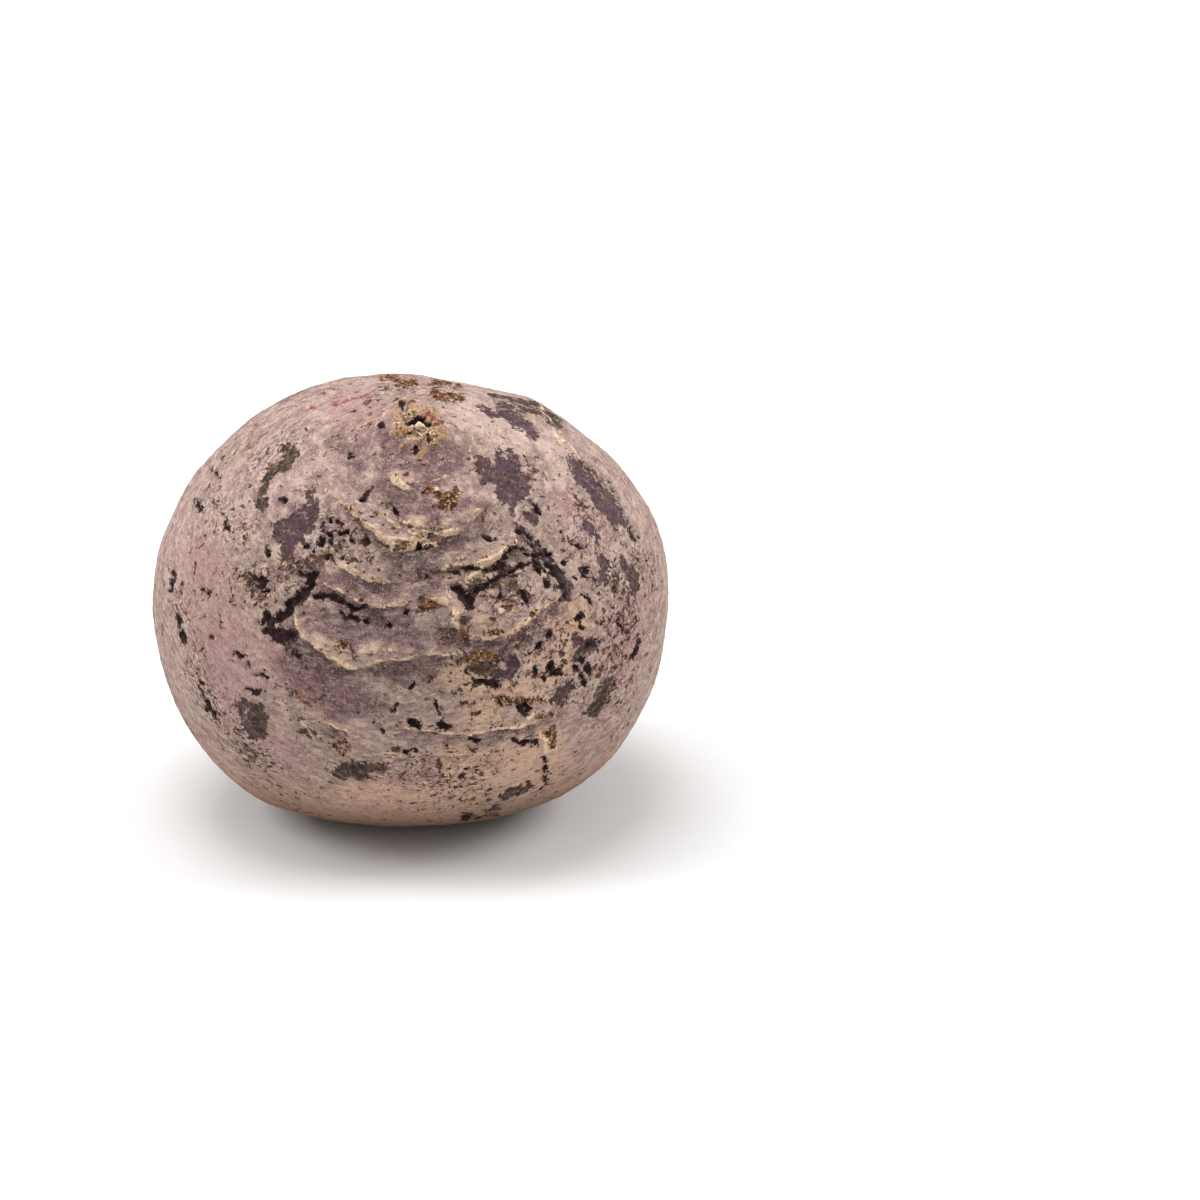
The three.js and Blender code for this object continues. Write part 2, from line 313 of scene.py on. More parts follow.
cracks = {
    "long left crack": [(314, 575, 2.8), (312, 585, 4), (302, 594, 4.2), (290, 603, 5), (284, 613, 5),
                        (277, 619, 4.4)],
    "its lower blob": [(267, 617, 4.5), (268, 630, 6.5), (278, 638, 6.5), (291, 636, 5)],
    "its tail": [(279, 640, 3), (285, 647, 1.6), (294, 653, 1.4), (302, 656, 1.6)],
    "ring crack": [(315, 597, 3.2), (326, 597, 3.4), (336, 597, 3.4), (347, 604, 3), (353, 608, 2.4),
                   (363, 607, 2)],
    "ring crack below": [(339, 611, 1), (349, 616, 1.8), (358, 620, 1.6), (369, 625, 1.2)],
    "middle hole": [(454, 588, 3.4), (461, 592, 5), (467, 599, 5.6), (468, 607, 3.4)],
    "middle hole, right": [(473, 592, 2.6), (479, 587, 1.8), (487, 584, 2.4)],
    # Painted shadow under the fourth ring's lip, black like a crack and sunk with it.
    "shadow of the fourth ring": [(446, 572, 1.8), (456, 573, 1.6), (466, 571, 3), (478, 568, 2.2)],
    "painted shadow under the fourth ring": [(489, 569, 2.4), (500, 566, 3.8), (505, 558, 2.6), (511, 551, 1.8),
                               (516, 545, 1)],
    "slit": [(520, 590, 1.2), (524, 596, 2.4), (528, 604, 1.2)],
    "upper line": [(484, 583, 0.9), (500, 576, 1.1), (515, 571, 1.6), (531, 564, 1.4)],
    "long right line": [(520, 549, 1.6), (529, 554, 2.4), (540, 558, 1.4), (552, 571, 2),
                        (557, 579, 1.6)],
    "second right line": [(536, 568, 0.8), (543, 575, 1.2), (549, 586, 3.2)],
    "left of the seventh": [(410, 723, 2.4), (415, 725, 3.6), (421, 727, 1.6)],
    "over the seventh": [(437, 725, 2), (445, 723, 3.2), (452, 725, 1.6)],
    "dot over the seventh": [(436, 709, 2.4), (441, 713, 1.6)],
    "dash": [(514, 741, 1.6), (521, 743, 2.2), (529, 742, 1.6), (537, 744, 1.8)],
    "upper slit": [(363, 501, 2), (366, 495, 1.3), (370, 489, 1.6)],
    "pale spot's hole": [(350, 456, 2)],
    "dot left of the stump": [(383, 427, 1.8)],
    "short purple split": [(480, 537, 1.6), (486, 540, 1.4), (492, 543, 1.8)],
    "black dot": [(418, 547, 2.2), (426, 546, 1.4)],
    "low slit": [(254, 674, 1.2), (261, 676, 1.5), (268, 679, 1.1)],
    "dot at left": [(246, 666, 2.4)],
    "tick": [(411, 687, 2.2), (415, 678, 1)],
    "small dash": [(391, 707, 1.8), (398, 703, 1.2)],
    "fine split": [(376, 723, 0.9), (383, 731, 1.2)],
    "lonely dot": [(405, 613, 2)],
    "specks far left": [(246, 574, 1.8), (249, 576, 1)],
    "speck b": [(254, 578, 2), (259, 579, 2)],
    "speck c": [(262, 586, 2), (267, 580, 1)],
    "speck d": [(263, 592, 1.8), (270, 589, 1.2)],
    "speck e": [(299, 575, 1.4), (308, 574, 1.4)],
    "speck f": [(324, 538, 2.6), (325, 545, 1.4)],
    "speck g": [(339, 534, 2)],
    "speck h": [(367, 542, 2)],
    "speck i": [(330, 559, 2.6), (323, 558, 1.8)],
    "speck j": [(266, 551, 1.8)],
    "left scribble": [(201, 684, 1.8), (203, 698, 1.8), (208, 709, 3.2), (214, 719, 2.4)],
    "left scribble, upper": [(178, 616, 1.2), (180, 628, 2.2), (184, 640, 2.4)],
    "groove under the low scar": [(545, 758, 0.9), (547, 774, 1), (543, 792, 0.7)],
    "low dashes a": [(470, 738, 0.9), (480, 741, 1.2)],
    "low dashes b": [(428, 761, 0.9), (436, 757, 1.2)],
    "low dashes c": [(468, 768, 0.8), (461, 779, 1.1)],
    "low dashes d": [(406, 752, 1), (416, 750, 1.2)],
    "left dots a": [(283, 500, 1.6)],
    "left dots b": [(232, 600, 1.4)],
    "left dots c": [(203, 590, 1.4), (208, 594, 1)],
    "left dots d": [(214, 637, 1.5)],
    "left dots e": [(236, 652, 1.7), (242, 657, 1.3)],
    "left dots f": [(262, 690, 1.3), (243, 690, 1.3)],
    "left dots g": [(171, 590, 1), (174, 572, 1.2)],
    "left dots h": [(225, 522, 1.3), (229, 533, 1.6)],
    "left dots i": [(212, 470, 1.4), (219, 480, 1.1)],
    "left dots j": [(196, 500, 1.6), (202, 508, 1.2)],
    "middle dots a": [(382, 618, 1), (390, 625, 1.1)],
    "middle dots b": [(440, 588, 1.3)],
    "middle dots c": [(428, 578, 1.2)],
    "middle dots d": [(394, 510, 1), (399, 516, 1.1)],
    "right dots a": [(541, 642, 1.1), (538, 650, 1.3)],
    "right dots b": [(551, 628, 1.4), (548, 636, 1)],
    "right dots c": [(530, 652, 1.3)],
    "right dots d": [(584, 596, 1.6), (590, 603, 1.2)],
    "right dots e": [(571, 541, 1.3), (580, 548, 1.6)],
    "right dots f": [(535, 506, 1.5), (541, 515, 1.8)],
    "right dots g": [(560, 532, 1.5)],
    "base line": [(462, 817, 1.2), (480, 818, 1.8), (500, 816, 1)],
    "under the root scar": [(468, 673, 1.4), (475, 679, 1.6), (484, 682, 2.2), (496, 686, 2.4)],
    "holes right a": [(537, 671, 2.4), (539, 675, 1.4)],
    "holes right b": [(552, 676, 2.8), (559, 672, 2.8)],
    "holes right c": [(544, 679, 1.4), (551, 666, 1.4)],
    "spot over the seventh, right": [(496, 701, 2.4), (502, 705, 1.8)],
    "ring at right": [(519, 706, 1.6), (524, 702, 1.6), (530, 708, 1.8), (524, 713, 1.4), (519, 706, 1.6)],
    "spots right a": [(578, 618, 2.4), (583, 615, 1.8)],
    "spots right b": [(582, 627, 2.6)],
    "streak right a": [(575, 665, 1.4), (581, 675, 1.8), (584, 683, 2.2)],
    "streak right b": [(582, 660, 1.4), (588, 672, 1.8)],
    "speck k": [(552, 553, 1.8)],
    "speck l": [(563, 562, 2.2), (569, 559, 1.4)],
    "speck m": [(584, 569, 2.4), (585, 575, 1.8)],
    "speck n": [(577, 577, 2)],
    "speck o": [(534, 596, 1.2)],
    "speck p": [(499, 597, 1.2), (504, 592, 1.2)],
    "speck q": [(586, 648, 1.6), (594, 640, 1.2)],
    # The pit under the stump's roof is sunk, and its black is painted shadow under the roof.
    "stump hole, painted shadow under its roof": [(408, 426, 2), (413, 421, 3), (418, 418, 3.4), (424, 421, 3),
                         (430, 425, 2)],
    "stump hole a": [(410, 435, 2.2)],
    "stump hole b": [(415, 450, 2.2), (417, 446, 1.4)],
    "stump hole c": [(428, 437, 1.8), (431, 441, 1.2)],
    "stump hole d": [(418, 433, 1.2)],
    "stump speck": [(402, 407, 1.8), (404, 411, 1.2)],
    "hatching a": [(517, 530, 0.6), (528, 541, 1.5), (541, 554, 0.8)],
    "hatching b": [(521, 547, 0.1), (536, 562, 0.4), (551, 579, 0.1)],
    "hatching c": [(533, 556, 0.2), (546, 574, 0.6), (561, 597, 0.3)],
    "hatching d": [(526, 532, 0.1), (545, 549, 0.4), (560, 570, 0.1)],
    "hatching e": [(559, 578, 0.2), (566, 588, 0.9), (570, 599, 0.6)],
    "hatching f": [(545, 578, 0.8), (547, 587, 1.6)],
    "hidden strip a": [(629, 528, 1.2), (634, 538, 1.8)],
    "hidden strip b": [(618, 622, 2), (623, 633, 1.2)],
    "hidden strip c": [(640, 636, 1.2), (638, 650, 1.8), (632, 658, 1.2)],
    "hidden strip d": [(616, 590, 1.4), (619, 597, 1.6)],
}

# Pepper: small dark pores, each a dot with a short tail.
pepper = {
    "right of the left patch": [(330, 521), (336, 522), (322, 525), (329, 536), (342, 525), (347, 532),
                                (352, 538)],
    "below the left patch": [(267, 551), (273, 536), (315, 550), (308, 545), (322, 545)],
    "over the third ring": [(331, 543), (337, 551), (324, 559), (331, 560), (365, 543), (340, 558)],
}
PEPPER_WIDTH, PEPPER_TAIL, PEPPER_TAIL_WIDTH = 2.1, 1.5, 1.4
for where, spots in pepper.items():
    for number, (x, y) in enumerate(spots):
        tail = (x + PEPPER_TAIL, y + PEPPER_TAIL, PEPPER_TAIL_WIDTH)
        cracks[f"pepper {where} {number}"] = [(x, y, PEPPER_WIDTH), tail]

# Cream crumbs: places where the pale inner cork shows, level with the film. They get the colour of
# the lips and no height of their own.
creams = {
    "beside the low scar": [(540, 734, 2.5), (551, 741, 5), (547, 752, 3.5), (556, 748, 3)],
    "over the low scar": [(526, 716, 1.6), (532, 714, 2.4)],
    "left of the stump": [(345, 454, 2.4)],
    "under the first ring": [(437, 488, 1.8), (430, 494, 1.2)],
    "by the middle hole": [(448, 592, 1.6), (452, 599, 1.8)],
    "on the flap": [(499, 609, 1.6), (509, 612, 1.2)],
    "low left": [(299, 722, 1.8), (306, 727, 1.2)],
    "by the root scar": [(472, 672, 1.4), (480, 676, 1.2)],
    "right shoulder": [(556, 436, 2.6), (562, 445, 1.6)],
}

# Knobs of hard cork that ring the stump, where the tail of the root was cut off, and the pale
# core of the tail inside them.
KNOB_HEIGHT = 0.75 * MM

knobs = {
    "upper left": [(400, 406, 3.6), (404, 404, 3)],
    "left": [(394, 415, 2.8), (393, 421, 2.2)],
    "top": [(411, 408, 3.4), (417, 408, 2.4)],
    "top right": [(426, 409, 2.4), (432, 412, 2)],
    "right": [(443, 430, 3), (442, 438, 3.4)],
    "low right": [(435, 446, 4)],
    "low": [(424, 452, 3.8), (420, 455, 2.4)],
    "low left": [(406, 445, 3.6), (402, 449, 2.4)],
    "left low": [(398, 434, 3.2)],
    "inner left": [(404, 430, 2.4)],
    "inner low": [(421, 442, 3)],
    "inner right": [(435, 433, 2.4)],
}
core = {
    "nub": [(419, 426, 3), (423, 428, 2.6)],
    "beside it": [(410, 429, 2)],
}

# Bare patches: the cork has flaked off and the smooth dark purple skin shows, a little lower than
# the film of cork round it.
BARE_DEPTH = 0.2 * MM

patches = {
    "right of the stump": [(485, 465, 6), (491, 476, 9), (505, 484, 14), (517, 488, 15), (520, 496, 8)],
    "its teeth, left": [(478, 455, 2), (484, 463, 5)],
    "its teeth, middle": [(498, 454, 2.5), (501, 466, 8)],
    "its teeth, right": [(511, 453, 2), (512, 468, 10)],
    "its foot": [(512, 500, 3.4), (513, 512, 2.6)],
    "far right": [(570, 461, 5), (580, 470, 9), (592, 484, 11), (604, 500, 11), (614, 513, 8),
                  (622, 524, 4)],
    "right of far right": [(586, 521, 3), (596, 534, 4), (603, 545, 3)],
    "left": [(312, 495, 5), (311, 508, 8), (303, 517, 12), (292, 522, 10), (281, 530, 8), (273, 535, 4)],
    "left, lower": [(302, 528, 9), (292, 541, 8), (284, 552, 4)],
    "left, low right": [(303, 538, 3), (306, 546, 2)],
    "shoulder streak": [(502, 408, 4), (513, 416, 7), (526, 426, 6), (535, 434, 3)],
    "shoulder spot": [(484, 408, 2.5), (494, 414, 4.5)],
    "root scar's side": [(503, 652, 3), (508, 660, 6), (514, 669, 7), (505, 675, 4), (497, 674, 2.5)],
    "right lower": [(558, 700, 4), (562, 691, 6.5), (570, 687, 4)],
    "right middle": [(576, 641, 6), (585, 645, 4.5)],
    "long right band": [(519, 531, 3.4), (528, 538, 5.4), (537, 547, 4.6), (548, 560, 3.2), (556, 571, 3.6),
                        (565, 584, 6), (568, 597, 5)],
    "hidden strip": [(624, 560, 3), (633, 576, 5), (636, 592, 4)],
    "hidden strip, low": [(612, 668, 4), (607, 682, 6), (598, 694, 3)],
    "above the right band": [(526, 515, 4), (534, 520, 3)],
    "crescent low left": [(243, 702, 3), (241, 712, 4), (243, 722, 4), (249, 731, 4), (260, 738, 2.5)],
    "spot low middle": [(562, 653, 3)],
    "right rim": [(598, 552, 3), (606, 566, 4), (604, 580, 3)],
}

# Cork: rough brown growths where side roots and bruises healed. They stand proud of the skin,
# knobbly and crumbled at the edges.
CORK_HEIGHT = 0.3 * MM

cork = {
    "top": [(382, 377, 2), (392, 380, 2.4), (403, 384, 3), (414, 381, 2.4)],
    "top right": [(433, 382, 1.6), (446, 383, 2), (459, 384, 1.8)],
    "above the stump": [(436, 393, 3.2), (443, 398, 3.8), (454, 398, 3.4), (463, 400, 2.6)],
    "first ring": [(438, 493, 3.6), (446, 498, 5.4), (439, 507, 4.2), (452, 506, 4.6), (457, 491, 3)],
    "middle": [(424, 599, 4.2), (429, 606, 5.4), (420, 610, 3.4), (436, 604, 2.4)],
    "flap's corner": [(461, 630, 2), (468, 636, 1.6)],
    "flap": [(490, 630, 2.8), (499, 632, 2.6)],
    "root scar": [(468, 661, 3.4), (479, 656, 4.6), (491, 655, 4), (497, 661, 2.4)],
    "root scar, foot": [(509, 686, 2), (516, 682, 1.6)],
    "second ring": [(392, 552, 1.8), (398, 547, 1.6), (405, 546, 1.6)],
    "sixth ring": [(337, 645, 2.2), (347, 645, 2.2), (342, 651, 1.6)],
    "sixth ring, right": [(354, 654, 2.4), (358, 656, 1.6)],
    "low right": [(548, 736, 2.2), (555, 728, 1.8), (553, 747, 2)],
    "under the first ring": [(425, 490, 2.4), (432, 487, 1.8)],
    "low left ring": [(337, 745, 2), (343, 741, 1.6), (349, 747, 2), (343, 753, 1.8), (337, 745, 2)],
    "right low": [(538, 716, 1.8), (551, 713, 2)],
    "right low b": [(545, 700, 1.4), (500, 700, 3)],
    "slit's rim": [(517, 588, 1), (529, 606, 1.2)],
}

# Stains: greenish grey to black, left by soil and wet. They are dry and soft-edged, with no depth
# of their own.
stains = {
    "low olive": [(338, 774, 4), (348, 769, 7), (362, 771, 8), (376, 768, 6), (385, 766, 3)],
    "upper left": [(290, 453, 8), (287, 463, 8), (276, 470, 4), (269, 477, 4)],
    "upper left, lower": [(266, 480, 3), (261, 495, 6), (263, 506, 7)],
    "low left": [(256, 708, 9), (258, 722, 12), (262, 732, 7)],
    "low right": [(528, 784, 2.5), (518, 790, 4), (508, 798, 3), (495, 806, 4), (483, 811, 2.5)],
    "right low": [(606, 695, 5), (600, 704, 7), (592, 713, 5)],
    "right middle": [(577, 636, 7), (587, 645, 7), (580, 655, 5)],
    "right shoulder": [(493, 393, 2.5), (515, 399, 4), (540, 411, 5), (560, 424, 4)],
    "root scar": [(478, 668, 9), (492, 670, 7)],
}

# Soft tints of the skin, each from its middle out: grey mauve where the cork is thin, dusty pink,
# red where it is scratched, tan low down and pale high up. The mauve on the cone round the stump
# is painted shade. Half widths are generous because the edges are soft.
mauves = {
    "under the stump": [(378, 487, 6), (400, 496, 8), (424, 500, 6)],
    "below the first ring": [(385, 502, 4), (410, 517, 10), (450, 516, 10), (480, 508, 9)],
    "left of the first ring": [(285, 505, 4), (325, 530, 5), (352, 545, 6)],
    "middle": [(395, 568, 13), (430, 574, 16), (425, 590, 14)],
    "below the third ring": [(328, 578, 8), (358, 590, 12), (392, 592, 13)],
    "inside the sixth ring": [(308, 612, 8), (335, 628, 14), (380, 630, 16), (432, 632, 13)],
    "below the sixth ring": [(285, 662, 8), (310, 680, 18), (340, 700, 18), (375, 706, 10)],
    "right of it": [(395, 672, 12), (425, 672, 8)],
    "below the fourth ring": [(505, 590, 3), (520, 612, 3), (492, 612, 3)],
    "below the flap": [(500, 645, 3), (535, 632, 3)],
    "between the rings": [(455, 548, 8), (485, 528, 6)],
    "left": [(345, 600, 8), (300, 562, 12), (270, 583, 8)],
    "shoulder": [(360, 450, 8), (352, 475, 8), (340, 440, 6)],
    # Painted shade on the cone round the stump, in the same mauve.
    "painted shade on the cone, left": [(386, 440, 12), (394, 460, 17), (410, 474, 17)],
    "painted shade on the cone, right": [(430, 472, 16), (450, 456, 14)],
}
pinks = {
    "left cheek": [(200, 560, 22), (215, 610, 30), (225, 660, 28), (240, 700, 20)],
    "low left": [(270, 650, 16), (300, 680, 22), (335, 700, 20)],
    "low left, lower": [(250, 730, 14), (290, 760, 14)],
    "shoulder": [(350, 410, 22), (390, 420, 14)],
    "bottom": [(380, 790, 20), (440, 780, 18)],
    "right rim": [(590, 520, 14), (560, 500, 14)],
    "hidden strip": [(630, 610, 20), (615, 670, 18)],
}
reds = {
    "streak": [(332, 404, 1.2), (345, 401, 1.6), (358, 398, 1.2), (372, 397, 0.6)],
    "dot": [(311, 408, 2), (316, 406, 1.2)],
    "left dot": [(256, 426, 2)],
    "stump strip": [(427, 414, 1.2), (435, 418, 1.8), (443, 424, 1.4)],
    "low scratch": [(306, 702, 1.2), (312, 708, 0.8)],
}
tans = {
    "low right": [(455, 765, 16), (500, 770, 22), (545, 755, 24)],
    "right": [(530, 690, 18), (560, 655, 16), (575, 610, 14)],
    "under the middle": [(455, 672, 12), (490, 690, 18), (480, 715, 16)],
    "in the flap": [(480, 625, 4), (510, 640, 6)],
    "low": [(345, 792, 7), (400, 795, 8), (470, 796, 7)],
}
pales = {
    "between the patches": [(545, 445, 10), (560, 460, 12), (560, 478, 8)],
    "above the patches": [(466, 412, 14), (500, 424, 14), (525, 440, 10)],
}

# Gritty places: the cork here is full of dark pores and orange crumbs, as where the root lay in
# wet soil.
gritty = {
    "right of the middle": [(505, 590, 30), (540, 640, 34), (560, 690, 26)],
    "right shoulder": [(575, 500, 8), (590, 545, 18)],
    "left of the long crack": [(330, 535, 14), (300, 565, 16), (262, 585, 22)],
    "left shoulder": [(262, 470, 16), (290, 440, 12)],
    "left shoulder, low": [(212, 500, 12), (236, 528, 14), (250, 520, 14)],
    "under the middle": [(450, 695, 6), (480, 712, 6), (520, 735, 8)],
    "below the first ring": [(315, 520, 16), (345, 540, 18)],
    "bottom": [(400, 770, 18), (470, 780, 22)],
    "top": [(390, 385, 8), (450, 390, 8)],
    "left edge": [(180, 600, 10), (205, 690, 14), (260, 750, 16)],
    "hidden strip": [(622, 560, 22), (624, 630, 20), (600, 710, 20)],
}

# The far side has marks of the same kinds, strewn about the stump by a seeded draw. They lie
# where the photograph doesn't show, so they are drawn on the body itself.
FAR_SIDE = [
    {"into": "crack", "number": 70, "steps": 3, "length": 7, "width": (0.8, 2.4)},
    {"into": "crack", "number": 10, "steps": 5, "length": 11, "width": (1.4, 4.0)},
    {"into": "bare", "number": 16, "steps": 4, "length": 11, "width": (3.0, 10.0)},
    {"into": "cork", "number": 16, "steps": 3, "length": 7, "width": (1.6, 4.6)},
    {"into": "stain", "number": 9, "steps": 4, "length": 10, "width": (4.0, 9.0)},
    {"into": "mauve", "number": 22, "steps": 4, "length": 26, "width": (5.0, 16.0)},
    {"into": "pink", "number": 12, "steps": 4, "length": 30, "width": (10.0, 26.0)},
    {"into": "tan", "number": 9, "steps": 4, "length": 26, "width": (6.0, 16.0)},
    {"into": "gritty", "number": 14, "steps": 4, "length": 26, "width": (8.0, 26.0)},
    {"into": "lip", "number": 28, "steps": 14, "length": 8, "width": (1.0, 2.4)},
]
FAR_SIDE_SEED = 41
BODY_RADIUS = 42 * MM
LOWEST = -0.86
ALONG_RING, ANY_WAY = 0.35, 1.5
WANDER = 0.35
ENDS_WIDTH = 0.35

draw = random.Random(FAR_SIDE_SEED)
lip_axis = np.array(stump_axis)
far_strokes = {kind["into"]: [] for kind in FAR_SIDE}
for kind in FAR_SIDE:
    lean_most = ALONG_RING if kind["into"] == "lip" else ANY_WAY
    for number in range(kind["number"]):
        start = Vector((0, 0, -1))
        while start.dot(looking) < 0 or start.z < LOWEST:
            start = Vector([draw.gauss(0, 1) for axis in "xyz"]).normalized()
        round_stump = stump_axis.cross(start).normalized()
        lean = draw.uniform(-lean_most, lean_most)
        heading = round_stump * math.cos(lean) + start.cross(round_stump) * math.sin(lean)
        stroke = []
        for step in range(kind["steps"]):
            spot = on_solid(start) / pixel
            taper = math.sin(math.pi * (step + 0.6) / (kind["steps"] + 0.2))
            width = draw.uniform(*kind["width"]) * (ENDS_WIDTH + (1 - ENDS_WIDTH) * taper)
            stroke.append((*spot, width))
            heading += start.cross(heading) * draw.uniform(-WANDER, WANDER)
            start = (start + heading.normalized() * kind["length"] * pixel / BODY_RADIUS).normalized()
        far_strokes[kind["into"]].append(stroke)
in_view = np.clip(facing + LIMB, 0, 1) * LIMB_FADE
for line in far_strokes["lip"]:
    cut_ledge(solid_pixels, line, in_view, lambda foot: -lip_axis)


def both_sides(strokes, kind):
    front = stroke_field(strokes.values())
    back = stroke_field(far_strokes[kind], where=solid_pixels, hidden=0)
    return np.minimum(front, back)


# Fields of the marks. A mark with a hard edge is roughened by the fine noise, a soft tint is
# clouded by the broad one.
RAGGED, KNOB_RAGGED, CORK_BROKEN = 3.0, 1.6, 4.0
PATCH_CLOUD, TINT_CLOUD, GRIT_CLOUD = 5.0, 9.0, 10.0
CRACK_SLACK = 0.2

fields = {
    "crack": both_sides(cracks, "crack") + knobbly * RAGGED + CRACK_SLACK,
    "bare": both_sides(patches, "bare") + knobbly * RAGGED + patchy * PATCH_CLOUD,
    "cork": both_sides(cork, "cork") - knobbly * CORK_BROKEN,
    "stain": both_sides(stains, "stain") + patchy * PATCH_CLOUD,
    "mauve": both_sides(mauves, "mauve") + patchy * TINT_CLOUD,
    "pink": both_sides(pinks, "pink") + patchy * TINT_CLOUD,
    "tan": both_sides(tans, "tan") + patchy * TINT_CLOUD,
    "gritty": both_sides(gritty, "gritty") + patchy * GRIT_CLOUD,
    "pale": stroke_field(pales.values()) + patchy * TINT_CLOUD,
    "red": stroke_field(reds.values()),
    "knob": stroke_field(knobs.values()) + knobbly * KNOB_RAGGED,
    "core": stroke_field(core.values()),
    "lip": np.minimum(lip_field, stroke_field(creams.values()) + knobbly * RAGGED),
    "painted_ledge_light_and_shade": painted_ledge_light_and_shade,
}

# Relief of the marks, raised or sunk with the soft edge of each. The stump's cork is knobbly, with
# the last of the core in its pit.
EDGES = {
    "crack": (-2.2, 1.0),
    "bare": (-0.8, 1.4),
    "cork": (-2.4, 1.0),
    "knob": (-2.6, 1.4),
    "core": (-1.8, 1.2),
}
CORE_HEIGHT = 1.3 * KNOB_HEIGHT
CORK_EVEN, CORK_KNOBBLY = 0.5, 1.8
COLLAR_RADIUS, COLLAR_HEIGHT = 4.7 * MM, 0.6 * MM
COLLAR_EDGE = (0.7, 1.15)


def covers(name):
    return 1 - rise(fields[name], *EDGES[name])


relief -= CRACK_DEPTH * covers("crack")
relief -= BARE_DEPTH * covers("bare")
relief += CORK_HEIGHT * covers("cork") * (CORK_EVEN + CORK_KNOBBLY * knobbly)
out_from_stump = points - np.array(middle)
from_stump = np.linalg.norm(np.cross(out_from_stump, lip_axis), axis=1)
from_stump[out_from_stump @ lip_axis < 0] = 1.0
relief += KNOB_HEIGHT * covers("knob")
relief += CORE_HEIGHT * covers("core")
collar_start, collar_end = COLLAR_RADIUS * COLLAR_EDGE[0], COLLAR_RADIUS * COLLAR_EDGE[1]
relief += COLLAR_HEIGHT * knobbly * (1 - rise(from_stump, collar_start, collar_end))
fields["stump"] = from_stump / MM

points += normals * relief[:, None]
points[:, 2] = np.maximum(points[:, 2], low[2])
mesh.vertices.foreach_set("co", points.ravel())
mesh.update()
for name, values in fields.items():
    attribute = mesh.attributes.new(name, "FLOAT", "POINT")
    attribute.data.foreach_set("value", values.astype(np.float32))

# Skin: a thin dry film of cork, mottled beige, dusty pink and grey lilac, over smooth dark
# purple. It is matt, gritty and full of dark pores, with cream lips, partly a painted highlight, and brown
# corky growths.
BUMP_HEIGHT = 0.3 * MM
RINGED, FAR_RINGED = (1.3, 1.3, 1.3), (3, 3, 3)
FILM_ROUGHNESS, BARE_ROUGHNESS = 0.88, 0.6
SKIN_GLOSS = 0.3


def add_material(name, target):
    material = bpy.data.materials.new(name)
    material.use_nodes = True
    target.materials.append(material)
    return material.node_tree, material.node_tree.nodes["Principled BSDF"]


tree, shader = add_material("beetroot_skin", mesh)
place = tree.nodes.new("ShaderNodeTexCoord").outputs["Object"]


def put(kind, inputs, output=0, **settings):
    node = tree.nodes.new("ShaderNode" + kind)
    for name, value in settings.items():
        setattr(node, name, value)
    for socket, value in inputs.items():
        if isinstance(value, bpy.types.NodeSocket):
            tree.links.new(value, node.inputs[socket])
        else:
            node.inputs[socket].default_value = value
    return node.outputs[output]


def sums(operation, a, b=0.0, c=0.0):
    return put("Math", {0: a, 1: b, 2: c}, operation=operation)


def times(a, b):
    return sums("MULTIPLY", a, b)


def between(value, start, end, low_value=0.0, high_value=1.0):
    inputs = {"Value": value, "From Min": start, "From Max": end,
              "To Min": low_value, "To Max": high_value}
    return put("MapRange", inputs, interpolation_type="SMOOTHSTEP")


def grain(size_mm, detail=3.0, roughness=0.6, twist=0.0, where=None):
    inputs = {"Vector": where or place, "Scale": 1 / (size_mm * MM), "Detail": detail,
              "Roughness": roughness, "Distortion": twist}
    return put("TexNoise", inputs)


def colour(red, green, blue):
    linear = [((c / 255 + 0.055) / 1.055) ** 2.4 for c in (red, green, blue)]
    return (*linear, 1)


FILM = colour(180, 154, 144)
FILM_BLOTCH = colour(148, 121, 116)
FILM_BEIGE = colour(150, 128, 116)
FILM_FLECK = colour(200, 174, 158)
FILM_WORN = colour(116, 88, 88)
FILM_THIN = colour(98, 72, 74)
STREAK_DARK = colour(136, 108, 108)
STREAK_PALE = colour(206, 180, 164)
DUSTY_PINK = colour(164, 120, 122)
MAUVE_AND_CONE_SHADE = colour(94, 66, 71)
LOW_TAN = colour(190, 149, 116)
TAN = colour(212, 173, 142)
PALE = colour(218, 192, 180)
# Painted shade towards the floor.
PAINTED_SHADE_AT_FOOT = colour(116, 84, 62)
# Painted light over a ledge and painted shade under it.
PAINTED_LIGHT_OVER_LEDGE = colour(198, 166, 142)
PAINTED_SHADE_UNDER_LEDGE = colour(76, 53, 57)
GRIT_PALE = colour(218, 191, 170)
GRIT_DARK = colour(74, 50, 46)
DUST_PALE = colour(224, 199, 180)
DUST_DARK = colour(100, 72, 68)
STAIN_DARK = colour(44, 29, 26)
STAIN_OLIVE = colour(84, 64, 52)
# Cream of the lips: pale cork, partly a painted highlight along each raised edge.
LIP_CREAM_AND_HIGHLIGHT = colour(238, 206, 174)
LIP_ORANGE = colour(190, 132, 86)
BARE_DARK = colour(68, 42, 50)
BARE_PURPLE = colour(98, 68, 74)
BARE_BLACK = colour(44, 24, 30)
BARE_CRUMB = colour(150, 122, 118)
CRUMB_ORANGE = colour(162, 114, 74)
CRUMB_BROWN = colour(98, 62, 40)
PORE_BLACK = colour(44, 24, 24)
PORE_BROWN = colour(110, 74, 52)
PORE_RIM = colour(150, 104, 70)
CORK_BROWN = colour(128, 82, 46)
CORK_BLACK = colour(48, 27, 19)
CORK_OCHRE = colour(204, 162, 116)
COLLAR_BEIGE = colour(178, 142, 112)
COLLAR_BROWN = colour(112, 80, 54)
COLLAR_CREAM = colour(222, 196, 164)
COLLAR_BLACK = colour(62, 38, 26)
KNOB_BROWN = colour(132, 88, 50)
KNOB_OCHRE = colour(196, 152, 100)
FLESH_RED = colour(130, 36, 60)
